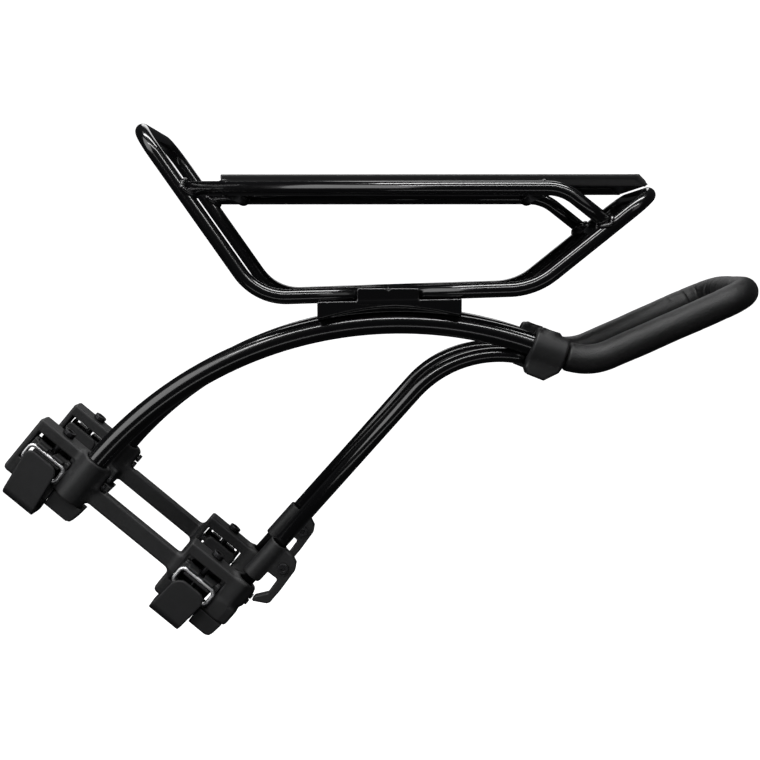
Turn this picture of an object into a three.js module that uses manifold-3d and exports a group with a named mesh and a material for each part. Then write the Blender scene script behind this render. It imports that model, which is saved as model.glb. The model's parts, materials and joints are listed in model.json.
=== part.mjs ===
// Rear rack that straps to a bicycle's seat stays: two clamp brackets, an arched
// tube frame with a padded tail loop, and a welded platform under a flat top plate.
// Millimetres, +X to the rear, +Y to the rack's right, +Z up.
// The origin lies midway between the four stay pads, on the seat of the pads.
import * as THREE from "three";
import Module from "manifold-3d";
import { mergeVertices } from "three/addons/utils/BufferGeometryUtils.js";

const wasm = await Module();
wasm.setup();

// ---- driving dimensions -------------------------------------------------
const GAP = 0.3;                        // clearance between touching pieces
const STAY_SLOPE = THREE.MathUtils.degToRad(40);   // how steeply a seat stay falls to the rear

// tube radii and walls
const ARCH_R = 8;
const STAY_R = 5.25;
const HOOP_R = 5.25;
const RAIL_R = 5;
const LOOP_R = 7;
const FOAM_R = 10.3;
const WALL = 1.5;

// half widths of the frame, from the middle plane to the tube centres
const ARCH_Y = 51;
const STAY_Y = 45.5;
const PLATFORM_Y = 58;

// arch: straight out of the socket, one large bend, straight through the block
const ARCH_START = [-41.2, 56.7];
const ARCH_CORNER = [100.5, 225.6];
const ARCH_END = [298.5, 158.5];
const ARCH_BEND = 283.3;

// tail loop: collinear with the arch end, then up and round the back
const LOOP_START = [299.1, 158.3];
const LOOP_CORNER = [324.7, 149.62];
const LOOP_END = [437.3, 200];
const LOOP_BEND = 42;
const LOOP_TURN = 24;
const FOAM_START = 308.4;

// lower stays
const LOWER_START = [62.8, -29.2];
const LOWER_CORNER = [231, 160.2];
const LOWER_END = [288, 152.8];
const LOWER_BEND = 80;

// platform
const HOOP_TOP = [12.6, 311.8];
const HOOP_FOOT = [93.8, 195.7];
const HOOP_JOINT = 184.4;
const RAIL_RISE = 0.0327;
const REAR_FOOT_X = 285.3;
const REAR_TOP = [366.2, 267.4];
const TOP_RAIL_Z = 270.8;
const TOP_RAIL_FRONT = 40.5;
const TOP_RAIL_CORNER = 304.5;
const TOP_RAIL_END = [338, 244.6];
const FRONT_BAR_X = 71;
const REAR_BAR_X = 291.6;
const TAIL_BAR = [333.5, 244];

// top plate
const PLATE_FRONT = 68;
const PLATE_REAR = 357.7;
const PLATE_TOP = 280.8;
const PLATE_SHEET = 3;
const PLATE_HALF = 50;
const PLATE_FLANGE = 8.4;
const PLATE_SCREW_Y = 25;

// saddles between the arch and the platform
const SADDLE = { from: 135.5, to: 235 };

// seat-stay brackets, in the stay frame: s along the stay, n away from it
const BRACKET_OUT = 54.4;
const BRACKET_IN = 37.4;
const BRACKET_Y = (BRACKET_OUT + BRACKET_IN) / 2;
const RIDGE_N = 47;
const FRAME_LOW_N = 1.6;
const FRAME_SIDE = 20.8;
const WINDOW = { front: 16.5, rear: 16.5, low: 15.2, high: 38.5 };
const M4 = { shank: 2, head: 3.1, headHigh: 2.6, bore: 2.4, key: 1.5 };
const M3 = { shank: 1.5, head: 2.3, headHigh: 1.6, bore: 1.8, key: 1.1 };
const CLAMPS = [
  {
    name: "upper", s: -96, socket: -68, socketY: ARCH_Y, strapLow: -11, lean: 3.9, tongue: 27.3,
    tubeR: ARCH_R, wall: 3, tilt: 0, boss: 2.6, pinch: [42.2, 35.2], screw: M4,
  },
  {
    name: "lower", s: 40.8, socket: 67.7, socketY: STAY_Y, strapLow: -8.5, lean: -2.2, tongue: 23.6,
    tubeR: STAY_R, wall: 3.2, tilt: -0.028, boss: 0.6, pinch: [41, 35.8], screw: M3,
  },
];
const SOCKET_FLOOR_N = 16;
const ARM = { from: -60, to: 25, low: 20.2, high: 33.7, thick: 9 };
const STAY_GROOVE_R = 10;
const STAY_GROOVE_N = -6;

// strap, bail, slider and tension bolt
const STRAP_W = 26.5;
const STRAP_T = 3;
const STRAP_OUT = 62.6;
const STRAP_IN = 33.8;
const STRAP_TOP_N = 35;
const WIRE_R = 1.4;
const BAIL_Y = 57.2;
const BAIL_HALF = 14.8;
const BAIL_TOP_N = 29.5;
const BAIL_LOW_N = 17.2;
const SLIDER = { half: 15.6, jaw: 11.2, low: 27.5, high: 31, rim: 33.2, lug: 35 };
const M5 = { shank: 2.5, head: 4.6, headHigh: 3.5, bore: 2.9 };

// bag hooks on the lower stays: where each sleeve's lower end sits
const HOOKS = [
  { side: -1, low: 53 },
  { side: 1, low: 64 },
];
const HOOK_SLEEVE = 31;

// ---- materials ----------------------------------------------------------
const finish = (color, roughness, metalness) =>
  new THREE.MeshStandardMaterial({ color, roughness, metalness });
const TUBE_COAT = finish(0x0b0b0c, 0.22, 0.3);
const NYLON = finish(0x17181a, 0.62, 0);
const RUBBER = finish(0x1d1e20, 0.8, 0);
const FOAM = finish(0x121212, 0.92, 0);
const STEEL = finish(0xb9bcc0, 0.25, 1);
const BLACK_BOLT = finish(0x222326, 0.38, 0.8);
const PLATE_COAT = finish(0x1a1b1c, 0.5, 0.2);

// ---- geometry helpers ---------------------------------------------------
const v3 = (x, y, z) => new THREE.Vector3(x, y, z);

function polygon(radius, sides, PathClass = THREE.Shape) {
  const points = [];
  for (let i = 0; i < sides; i++) {
    const a = (2 * Math.PI * (i + 0.5)) / sides;
    points.push(new THREE.Vector2(radius * Math.cos(a), radius * Math.sin(a)));
  }
  return new PathClass(points);
}

// A route made the way a tube bender works: straight runs joined by bends of stated radius.
class BentRoute extends THREE.Curve {
  constructor(corners, radii, step = 10) {
    super();
    this.stations = [];
    this.centres = [];
    const last = corners.length - 1;
    const heading = (i) => corners[i + 1].clone().sub(corners[i]).normalize();
    this.stations.push({ at: corners[0], along: heading(0) });
    for (let i = 1; i < last; i++) {
      const into = heading(i - 1);
      const out = heading(i);
      const bend = Math.acos(THREE.MathUtils.clamp(into.dot(out), -1, 1));
      const side = out.clone().addScaledVector(into, -Math.cos(bend)).divideScalar(Math.sin(bend));
      const radius = radii[i - 1];
      const start = corners[i].clone().addScaledVector(into, -radius * Math.tan(bend / 2));
      const pieces = Math.max(2, Math.ceil(THREE.MathUtils.radToDeg(bend) / step));
      this.centres.push(start.clone().addScaledVector(side, radius));
      for (let k = 0; k <= pieces; k++) {
        const a = (bend * k) / pieces;
        const at = start.clone().addScaledVector(into, radius * Math.sin(a));
        at.addScaledVector(side, radius * (1 - Math.cos(a)));
        const along = into.clone().multiplyScalar(Math.cos(a)).addScaledVector(side, Math.sin(a));
        const before = this.stations[this.stations.length - 1];
        if (before.at.distanceTo(at) > 0.05) this.stations.push({ at, along });
      }
    }
    this.stations.push({ at: corners[last], along: heading(last - 1) });
  }
  station(u) {
    return this.stations[Math.round(u * (this.stations.length - 1))];
  }
  getPointAt(u) {
    return this.station(u).at.clone();
  }
  getTangentAt(u) {
    return this.station(u).along.clone();
  }
}

function sweep(shape, route) {
  const steps = route.stations.length - 1;
  return new THREE.ExtrudeGeometry(shape, { steps, extrudePath: route, bevelEnabled: false });
}

function pipe(route, radius, bore = 0, sides = 10, boreSides = 5) {
  const shape = polygon(radius, sides);
  if (bore > 0) shape.holes.push(polygon(bore, boreSides, THREE.Path));
  return sweep(shape, route);
}

const straight = (a, b) => new BentRoute([a, b], []);

function solid(geometry) {
  const bare = geometry.index ? geometry.toNonIndexed() : geometry.clone();
  bare.deleteAttribute("normal");
  bare.deleteAttribute("uv");
  const merged = mergeVertices(bare, 1e-4);
  const corners = merged.index.array;
  const kept = [];
  for (let i = 0; i < corners.length; i += 3) {
    const [a, b, c] = corners.slice(i, i + 3);
    if (a !== b && b !== c && c !== a) kept.push(a, b, c);
  }
  return new wasm.Manifold(new wasm.Mesh({
    numProp: 3,
    vertProperties: new Float32Array(merged.attributes.position.array),
    triVerts: new Uint32Array(kept),
  }));
}

function geometryOf(manifold) {
  const mesh = manifold.getMesh();
  const geometry = new THREE.BufferGeometry();
  geometry.setAttribute("position", new THREE.BufferAttribute(mesh.vertProperties, 3));
  geometry.setIndex(new THREE.BufferAttribute(mesh.triVerts, 1));
  return geometry;
}

const joined = (parts) => parts.map(solid).reduce((a, b) => a.add(b));
const cut = (body, tools) => tools.map(solid).reduce((a, b) => a.subtract(b), body);

// Extrudes an outline drawn in the X-Z plane between two Y values.
function slab(points, y0, y1, bevel = 0) {
  const shape = new THREE.Shape(points.map(([x, z]) => new THREE.Vector2(x, z)));
  const depth = Math.abs(y1 - y0) - 2 * bevel;
  const geometry = new THREE.ExtrudeGeometry(shape, {
    depth,
    bevelEnabled: bevel > 0,
    bevelSize: bevel,
    bevelThickness: bevel,
    bevelOffset: -bevel,
    bevelSegments: 1,
    steps: 1,
  });
  geometry.rotateX(Math.PI / 2);
  geometry.translate(0, Math.max(y0, y1) - bevel, 0);
  return geometry;
}

// Extrudes an outline drawn in the Y-Z plane between two X values.
function bar(points, x0, x1) {
  const shape = new THREE.Shape(points.map(([y, z]) => new THREE.Vector2(y, z)));
  const geometry = new THREE.ExtrudeGeometry(shape, { depth: x1 - x0, bevelEnabled: false });
  geometry.rotateX(Math.PI / 2);
  geometry.rotateZ(Math.PI / 2);
  geometry.translate(x0, 0, 0);
  return geometry;
}

function box(x0, x1, y0, y1, z0, z1) {
  const geometry = new THREE.BoxGeometry(x1 - x0, Math.abs(y1 - y0), z1 - z0);
  return geometry.translate((x0 + x1) / 2, (y0 + y1) / 2, (z0 + z1) / 2);
}

function cylinder(radius, from, to, sides = 16) {
  return pipe(straight(from, to), radius, 0, sides);
}

// Points of an outline whose corners are rounded: each corner is [x, z, radius].
function rounded(corners, pieces = 3) {
  const points = [];
  const count = corners.length;
  corners.forEach(([x, z, radius = 0], i) => {
    if (radius === 0) {
      points.push([x, z]);
      return;
    }
    const [px, pz] = corners[(i + count - 1) % count];
    const [nx, nz] = corners[(i + 1) % count];
    const here = new THREE.Vector2(x, z);
    const into = here.clone().sub(new THREE.Vector2(px, pz)).normalize();
    const out = new THREE.Vector2(nx, nz).sub(here).normalize();
    const bend = Math.acos(THREE.MathUtils.clamp(into.dot(out), -1, 1));
    const side = out.clone().addScaledVector(into, -Math.cos(bend)).divideScalar(Math.sin(bend));
    const start = here.clone().addScaledVector(into, -radius * Math.tan(bend / 2));
    for (let k = 0; k <= pieces; k++) {
      const a = (bend * k) / pieces;
      const p = start.clone().addScaledVector(into, radius * Math.sin(a));
      p.addScaledVector(side, radius * (1 - Math.cos(a)));
      points.push([p.x, p.y]);
    }
  });
  return points;
}

function mirrored(geometry) {
  const copy = geometry.index ? geometry.toNonIndexed() : geometry.clone();
  copy.scale(1, -1, 1);
  const p = copy.attributes.position;
  const order = [];
  for (let i = 0; i < p.count; i += 3) order.push(i, i + 2, i + 1);
  copy.setIndex(order);
  return copy;
}

const rack = new THREE.Group();
const brackets = new THREE.Group();
brackets.rotation.y = STAY_SLOPE;
rack.add(brackets);

function place(name, geometry, material, group = rack) {
  const mesh = new THREE.Mesh(geometry, material);
  mesh.name = name;
  group.add(mesh);
}

// Adds the left piece as drawn and its mirror image on the right.
function placePair(name, geometry, material, group = rack) {
  place(`${name}_left`, geometry, material, group);
  place(`${name}_right`, mirrored(geometry), material, group);
}

// ---- tube frame ---------------------------------------------------------
const inPlane = (points, y) => points.map(([x, z]) => v3(x, y, z));

function archRoute() {
  return new BentRoute(inPlane([ARCH_START, ARCH_CORNER, ARCH_END], -ARCH_Y), [ARCH_BEND], 5.8);
}

function lowerRoute() {
  const corners = inPlane([LOWER_START, LOWER_CORNER, LOWER_END], -STAY_Y);
  return new BentRoute(corners, [LOWER_BEND], 9.5);
}

// The loop runs out on the left, round the back and home on the right.
function loopRoute(startX) {
  const slope = (LOOP_CORNER[1] - LOOP_START[1]) / (LOOP_CORNER[0] - LOOP_START[0]);
  const start = [startX, LOOP_START[1] + slope * (startX - LOOP_START[0])];
  const out = inPlane([start, LOOP_CORNER, LOOP_END], -ARCH_Y);
  const home = inPlane([LOOP_END, LOOP_CORNER, start], ARCH_Y);
  return new BentRoute([...out, ...home], [LOOP_BEND, LOOP_TURN, LOOP_TURN, LOOP_BEND], 15);
}

function frontHoopRoute() {
  const jointZ = HOOP_FOOT[1] + RAIL_RISE * (HOOP_JOINT - HOOP_FOOT[0]);
  const path = [[HOOP_JOINT - GAP, jointZ], HOOP_FOOT, HOOP_TOP];
  const out = inPlane(path, -PLATFORM_Y);
  const home = inPlane(path.slice().reverse(), PLATFORM_Y);
  return new BentRoute([...out, ...home], [39, 21, 21, 39], 15);
}

function rearHoopRoute() {
  const railZ = (x) => HOOP_FOOT[1] + RAIL_RISE * (x - HOOP_FOOT[0]);
  const path = [
    [HOOP_JOINT + GAP, railZ(HOOP_JOINT)],
    [REAR_FOOT_X, railZ(REAR_FOOT_X)],
    REAR_TOP,
  ];
  const out = inPlane(path, -PLATFORM_Y);
  const home = inPlane(path.slice().reverse(), PLATFORM_Y);
  return new BentRoute([...out, ...home], [50, 21, 21, 50], 15);
}

function topRailRoute() {
  const corners = [[TOP_RAIL_FRONT, TOP_RAIL_Z], [TOP_RAIL_CORNER, TOP_RAIL_Z], TOP_RAIL_END];
  return new BentRoute(inPlane(corners, -PLATFORM_Y), [32], 10);
}

const hoopFront = pipe(frontHoopRoute(), HOOP_R, HOOP_R - WALL);
const hoopRear = pipe(rearHoopRoute(), HOOP_R, HOOP_R - WALL);
const hoopFrontRoom = pipe(frontHoopRoute(), HOOP_R + GAP, 0);
const hoopRearRoom = pipe(rearHoopRoute(), HOOP_R + GAP, 0);
const railRoom = pipe(topRailRoute(), RAIL_R + GAP, 0);
const archRoom = pipe(archRoute(), ARCH_R + GAP, 0, 12);
const lowerRoom = pipe(lowerRoute(), STAY_R + GAP, 0, 10);

function buildFrame() {
  placePair("arch_tube", pipe(archRoute(), ARCH_R, ARCH_R - WALL, 12, 6), TUBE_COAT);
  const lower = cut(solid(pipe(lowerRoute(), STAY_R, STAY_R - WALL)), [archRoom]);
  const kept = lower.decompose().sort((a, b) => b.volume() - a.volume())[0];
  placePair("lower_stay", geometryOf(kept), TUBE_COAT);
  place("tail_loop", pipe(loopRoute(LOOP_START[0]), LOOP_R, LOOP_R - WALL, 12, 6), TUBE_COAT);
  place("tail_foam", pipe(loopRoute(FOAM_START), FOAM_R, LOOP_R + GAP, 12, 12), FOAM);
}

// ---- platform -----------------------------------------------------------
// A cross bar whose ends are coped to fit against the two side tubes.
function crossBar(x, z, tools) {
  const reach = PLATFORM_Y;
  const tube = solid(pipe(straight(v3(x, -reach, z), v3(x, reach, z)), RAIL_R, RAIL_R - WALL));
  const coped = cut(tube, tools);
  const middle = coped.decompose().sort((a, b) => b.volume() - a.volume())[0];
  return geometryOf(middle);
}

function screwHole(x, y) {
  return cylinder(M5.bore, v3(x, y, TOP_RAIL_Z), v3(x, y, PLATE_TOP + 1), 8);
}

function buildPlatform() {
  place("front_hoop", hoopFront, TUBE_COAT);
  place("rear_hoop", hoopRear, TUBE_COAT);
  const rail = cut(solid(pipe(topRailRoute(), RAIL_R, RAIL_R - WALL)), [hoopFrontRoom, hoopRearRoom]);
  const kept = rail.decompose().sort((a, b) => b.volume() - a.volume())[0];
  placePair("top_rail", geometryOf(kept), TUBE_COAT);
  const rails = [railRoom, mirrored(railRoom)];
  const drilled = (x) => [-1, 1].map((side) => screwHole(x, side * PLATE_SCREW_Y));
  place("front_cross_bar", crossBar(FRONT_BAR_X, TOP_RAIL_Z, [...rails, ...drilled(FRONT_BAR_X)]), TUBE_COAT);
  place("rear_cross_bar", crossBar(REAR_BAR_X, TOP_RAIL_Z, [...rails, ...drilled(REAR_BAR_X)]), TUBE_COAT);
  place("tail_cross_bar", crossBar(TAIL_BAR[0], TAIL_BAR[1], [...rails, hoopRearRoom]), TUBE_COAT);
}

// Flat sheet with two folded side flanges, a dropped tail lip and rests on the cross bars.
function buildTopPlate() {
  const low = PLATE_TOP - PLATE_SHEET;
  const flangeLow = PLATE_TOP - PLATE_FLANGE;
  const sheet = box(PLATE_FRONT, PLATE_REAR, -PLATE_HALF, PLATE_HALF, low, PLATE_TOP);
  const lip = slab([
    [PLATE_REAR - 1, low], [PLATE_REAR - 1, PLATE_TOP - 0.01], [PLATE_REAR, PLATE_TOP],
    [PLATE_REAR + 6.4, PLATE_TOP - 7], [PLATE_REAR + 4.4, PLATE_TOP - 8.2],
  ], -PLATE_HALF, PLATE_HALF);
  const flange = (side) => slab([
    [PLATE_FRONT, flangeLow], [PLATE_FRONT, PLATE_TOP - 0.5],
    [PLATE_REAR, PLATE_TOP - 0.5], [PLATE_REAR + 4.6, PLATE_TOP - 4.6], [PLATE_REAR + 4.6, flangeLow],
  ], side * PLATE_HALF, side * (PLATE_HALF - 2.5));
  const rest = (x) => box(x - 6, x + 6, -34, 34, TOP_RAIL_Z + RAIL_R + GAP, PLATE_TOP - 1);
  const rests = [FRONT_BAR_X + 4, REAR_BAR_X].map(rest);
  const bars = [FRONT_BAR_X, REAR_BAR_X].map((x) =>
    cylinder(RAIL_R + GAP, v3(x, -PLATFORM_Y, TOP_RAIL_Z), v3(x, PLATFORM_Y, TOP_RAIL_Z), 10));
  const holes = [];
  for (const x of [FRONT_BAR_X, REAR_BAR_X]) {
    for (const side of [-1, 1]) holes.push(flushScrew(x, side * PLATE_SCREW_Y, GAP, 1));
  }
  const plate = cut(joined([sheet, lip, flange(-1), flange(1), ...rests]), [...bars, ...holes]);
  place("top_plate", geometryOf(plate), PLATE_COAT);
}

// Solid of a flush screw: a cone under the plate's face and a straight shank.
function flushScrew(x, y, extra, above) {
  const cone = new THREE.CylinderGeometry(M5.head + extra, M5.shank + extra, 2.2, 8);
  cone.rotateX(Math.PI / 2);
  cone.translate(0, 0, -1.5);
  const shank = cylinder(M5.shank + extra, v3(0, 0, -9.5 - extra), v3(0, 0, -2), 8);
  const parts = [cone, shank];
  if (above > 0) parts.push(cylinder(M5.head + extra, v3(0, 0, -0.5), v3(0, 0, above), 8));
  const screw = geometryOf(joined(parts));
  return screw.translate(x, y, PLATE_TOP);
}

function buildPlateScrews() {
  let number = 1;
  for (const x of [FRONT_BAR_X, REAR_BAR_X]) {
    for (const side of [-1, 1]) {
      const socket = cylinder(1.6, v3(0, 0, -1.8), v3(0, 0, 1), 6);
      socket.translate(x, side * PLATE_SCREW_Y, PLATE_TOP);
      const screw = cut(solid(flushScrew(x, side * PLATE_SCREW_Y, 0, 0)), [socket]);
      place(`plate_screw_${number}`, geometryOf(screw), BLACK_BOLT);
      number += 1;
    }
  }
}

// Cradle welded on the arch that carries the platform's lower rails.
function buildSaddles() {
  const centre = archRoute().centres[0];
  const archZ = (x) => centre.z + Math.sqrt(ARCH_BEND ** 2 - (x - centre.x) ** 2);
  const low = [];
  const rim = [];
  for (let i = 0; i <= 8; i++) {
    const x = SADDLE.from + ((SADDLE.to - SADDLE.from) * i) / 8;
    low.push([x, archZ(x) + 7.2]);
    rim.push([x, archZ(x) + 8.1 + 3.2 * Math.sin((Math.PI * i) / 8), i % 8 === 0 ? 3 : 0]);
  }
  const top = [[SADDLE.to, 195.2], [SADDLE.from, 193]];
  const face = -PLATFORM_Y - HOOP_R - 1.6;
  const skin = slab(rounded([...rim, ...top]), face, -55);
  const web = slab([...low, ...top], -56, -ARCH_Y + 8.4);
  const tab = slab([[162.8, 191], [205.8, 191], [205.8, 202.4], [162.8, 202.4]],
    face, -PLATFORM_Y + HOOP_R + 1.6);
  const saddle = cut(joined([skin, web, tab]), [archRoom, hoopFrontRoom, hoopRearRoom]);
  const cradle = saddle.decompose().sort((a, b) => b.volume() - a.volume())[0];
  placePair("saddle", geometryOf(cradle), TUBE_COAT);
}

// Block that holds the ends of the arch, the lower stay and the tail loop.
function buildJunctionBlocks() {
  const slope = (ARCH_END[1] - ARCH_CORNER[1]) / (ARCH_END[0] - ARCH_CORNER[0]);
  const onLine = (x) => v3(x, -ARCH_Y, ARCH_END[1] + slope * (x - ARCH_END[0]));
  const axis = onLine(1).sub(onLine(0)).normalize();
  const sleeve = new THREE.CylinderGeometry(11.6, 12.8, 24, 16);
  sleeve.applyQuaternion(new THREE.Quaternion().setFromUnitVectors(v3(0, 1, 0), axis));
  sleeve.translate(...onLine(296.2).toArray());
  const lobe = slab(rounded([
    [283.5, 160, 0], [279.4, 147.5, 2], [280.8, 142.6, 1.5], [292.4, 138, 1.5],
    [303, 143.3, 2], [306, 150, 0], [306, 158, 0],
  ]), -ARCH_Y - 7.5, -STAY_Y + STAY_R + 3.2, 1);
  const archBore = cylinder(ARCH_R + GAP, onLine(270), onLine(ARCH_END[0] + GAP), 14);
  const loopBore = cylinder(LOOP_R + GAP, onLine(ARCH_END[0]), onLine(320), 14);
  const boltAt = onLine(294.5);
  const upward = v3(-axis.z, 0, axis.x);
  const reach = (d) => boltAt.clone().addScaledVector(upward, d);
  const boltBore = cylinder(M5.bore, reach(4), reach(16), 8);
  const seat = cylinder(M5.head + GAP, reach(11.2), reach(16), 12);
  const block = cut(joined([sleeve, lobe]), [archBore, loopBore, lowerRoom, boltBore, seat]);
  placePair("junction_block", geometryOf(block), NYLON);
  const head = joined([
    cylinder(M5.shank, reach(ARCH_R + GAP), reach(12), 8),
    cylinder(M5.head, reach(11.5), reach(13.6), 12),
  ]);
  const key = cylinder(1.7, reach(12.3), reach(15), 6);
  placePair("junction_bolt", geometryOf(cut(head, [key])), BLACK_BOLT);
}

// ---- seat-stay brackets (drawn in the stay frame) -----------------------
function clampFrame(clamp) {
  const left = clamp.s - FRAME_SIDE;
  const outline = rounded([
    [left, RIDGE_N, 3], [left, FRAME_LOW_N, 3.2],
    [clamp.socket + 2, FRAME_LOW_N, 0], [clamp.socket + 2, RIDGE_N, 0],
  ]);
  return slab(outline, -BRACKET_OUT, -BRACKET_IN, 1);
}

function socketAxis(clamp, n) {
  return v3(clamp.socket + clamp.tilt * (RIDGE_N - n), -clamp.socketY, n);
}

function socketSleeve(clamp) {
  const outer = clamp.tubeR + clamp.wall;
  return cylinder(outer, socketAxis(clamp, 13.8), socketAxis(clamp, RIDGE_N + 0.6), 18);
}

function socketFoot(clamp) {
  const reach = clamp.tubeR + clamp.wall;
  const s = clamp.socket;
  return box(s - reach, s + reach - 0.3, -BRACKET_OUT, -BRACKET_IN, 13.8, 27);
}

function pinchBoss(clamp) {
  const edge = clamp.socket + clamp.tubeR + clamp.wall;
  return box(edge - 6, edge + clamp.boss, -clamp.socketY - 4.6, -clamp.socketY + 4.6,
    clamp.pinch[1] - 4.2, clamp.pinch[0] + 4.2);
}

function clampWindow(clamp) {
  const outline = rounded([
    [clamp.s - WINDOW.front, WINDOW.low, 1.2], [clamp.s - WINDOW.front, WINDOW.high, 1.2],
    [clamp.s + WINDOW.rear, WINDOW.high, 1.2], [clamp.s + WINDOW.rear, WINDOW.low, 1.2],
  ], 2);
  return slab(outline, -BRACKET_OUT - 2, -BRACKET_IN + 2);
}

function socketBore(clamp) {
  return cylinder(clamp.tubeR + GAP + 0.05, socketAxis(clamp, SOCKET_FLOOR_N), socketAxis(clamp, RIDGE_N + 2), 14);
}

// Room below the sleeve for the rubber pad.
function padRoom(clamp) {
  const [from, to] = padSpan(clamp);
  return box(from - GAP, to + 4, -BRACKET_OUT - 8, -BRACKET_IN + 8, -4, 13.8);
}

const padSpan = (clamp) =>
  clamp.name === "upper" ? [clamp.socket - 10, clamp.socket + 13] : [clamp.socket - 13.6, clamp.socket + 5];

const stayGroove = (from, to) => cylinder(
  STAY_GROOVE_R, v3(from, -BRACKET_Y, STAY_GROOVE_N), v3(to, -BRACKET_Y, STAY_GROOVE_N), 16);

function pinchBore(clamp, level) {
  const edge = clamp.socket + clamp.tubeR + clamp.wall + clamp.boss;
  const at = (s) => v3(s, -clamp.socketY, level);
  return cylinder(clamp.screw.bore, at(clamp.socket), at(edge + 2), 8);
}

// Room for a pinch screw's head where the arm runs close behind it.
function pinchPocket(clamp, level) {
  const edge = clamp.socket + clamp.tubeR + clamp.wall + clamp.boss;
  const at = (s) => v3(s, -clamp.socketY, level);
  return cylinder(clamp.screw.head + 0.5, at(edge), at(edge + 4.5), 10);
}

function pinchScrew(clamp, level) {
  const face = clamp.socket + clamp.tubeR + clamp.wall + clamp.boss + GAP;
  const tip = clamp.socket + clamp.tubeR + GAP + 0.8;
  const at = (s) => v3(s, -clamp.socketY, level);
  const screw = joined([
    cylinder(clamp.screw.shank, at(tip), at(face + 1), 8),
    cylinder(clamp.screw.head, at(face), at(face + clamp.screw.headHigh), 10),
  ]);
  const key = cylinder(clamp.screw.key, at(face + 0.8), at(face + 5), 6);
  return geometryOf(cut(screw, [key]));
}

function boltBore(clamp) {
  const at = (n) => v3(clamp.s, -BRACKET_Y, n);
  return cylinder(M5.bore, at(30), at(RIDGE_N + 3), 8);
}

function buildBrackets() {
  const arm = slab(rounded([
    [ARM.from, ARM.low], [ARM.to, ARM.low], [ARM.to, ARM.high], [ARM.from, ARM.high],
  ]), -BRACKET_OUT, -BRACKET_OUT + ARM.thick, 1);
  const parts = [arm];
  const tools = [];
  for (const clamp of CLAMPS) {
    parts.push(clampFrame(clamp), socketSleeve(clamp), socketFoot(clamp), pinchBoss(clamp));
    parts.push(...gussets(clamp));
    tools.push(clampWindow(clamp), socketBore(clamp), padRoom(clamp), boltBore(clamp));
    tools.push(...clamp.pinch.map((level) => pinchBore(clamp, level)));
    tools.push(...clamp.pinch.map((level) => pinchPocket(clamp, level)));
  }
  tools.push(stayGroove(-130, 90));
  const bracket = cut(joined(parts), tools);
  placePair("stay_bracket", geometryOf(bracket), NYLON, brackets);
}

// Fillet blocks where the arm runs into the clamps.
function gussets(clamp) {
  const y0 = -BRACKET_OUT;
  const y1 = -BRACKET_OUT + ARM.thick;
  if (clamp.name === "upper") {
    const s = clamp.socket + clamp.tubeR + clamp.wall - 2;
    return [
      slab([[s, 14.5], [s + 4, 17], [s + 12, ARM.low + 0.5], [s, ARM.low + 0.5]], y0, y1),
      slab([[s, ARM.high - 0.5], [s + 6, ARM.high - 0.5], [s, ARM.high + 4]], y0, y1),
    ];
  }
  const s = clamp.s - FRAME_SIDE;
  return [
    slab([[s - 8, ARM.high - 0.5], [s + 1, ARM.high - 0.5], [s + 1, 43], [s - 2, 39], [s - 4, 35.8]], y0, y1),
    slab([[s - 12, ARM.low + 0.5], [s - 2.5, 17], [s + 1, 12.5], [s + 1, ARM.low + 0.5]], y0, y1),
  ];
}

function padGeometry(clamp) {
  const [from, to] = padSpan(clamp);
  const outline = rounded([[from, 0.2, 1.5], [to, 0.2, 4], [to + 1.6, 13.5, 0], [from, 13.5, 0]]);
  const block = slab(outline, -BRACKET_OUT - 0.6, -BRACKET_IN + 0.6, 1);
  return geometryOf(cut(solid(block), [stayGroove(from - 5, to + 8)]));
}

function strapGeometry(clamp) {
  const from = clamp.s - STRAP_W / 2;
  const to = clamp.s + STRAP_W / 2;
  const inner = STRAP_IN + STRAP_T;
  const outer = STRAP_OUT - STRAP_T;
  const low = clamp.strapLow;
  const loop = bar(rounded([
    [-STRAP_OUT, 14, 0], [-STRAP_OUT, low, 6], [-STRAP_IN, low, 6], [-STRAP_IN, STRAP_TOP_N, 1],
    [-inner, STRAP_TOP_N, 1], [-inner, low + STRAP_T, 3], [-outer, low + STRAP_T, 3], [-outer, 14, 0],
  ]), from, to);
  const tongue = slab(rounded([
    [from, 12, 0], [from, clamp.tongue, 6], [to, clamp.tongue, 6], [to, 12, 0],
  ], 4), -STRAP_OUT, -outer);
  const catchLow = BAIL_LOW_N + WIRE_R + GAP;
  const hold = box(clamp.s - 9, clamp.s + 9, -outer - 1, -BAIL_Y + 1.6, catchLow, catchLow + 3.4);
  return leaned(geometryOf(joined([loop, tongue, hold])), clamp);
}

// A soft strap leans along the stay on its way round it.
function leaned(geometry, clamp) {
  const p = geometry.attributes.position;
  for (let i = 0; i < p.count; i++) p.setX(i, p.getX(i) + (clamp.lean * (18 - p.getZ(i))) / 28);
  return geometry;
}

function bailGeometry(clamp) {
  const left = clamp.s - BAIL_HALF;
  const right = clamp.s + BAIL_HALF;
  const at = (s, n) => v3(s, -BAIL_Y, n);
  const route = new BentRoute([
    at(clamp.s - 3, BAIL_TOP_N), at(left, BAIL_TOP_N), at(left, BAIL_LOW_N),
    at(right, BAIL_LOW_N), at(right, BAIL_TOP_N), at(clamp.s + 3, BAIL_TOP_N),
  ], [3.5, 3.5, 3.5, 3.5], 31);
  return pipe(route, WIRE_R, 0, 6);
}

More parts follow.
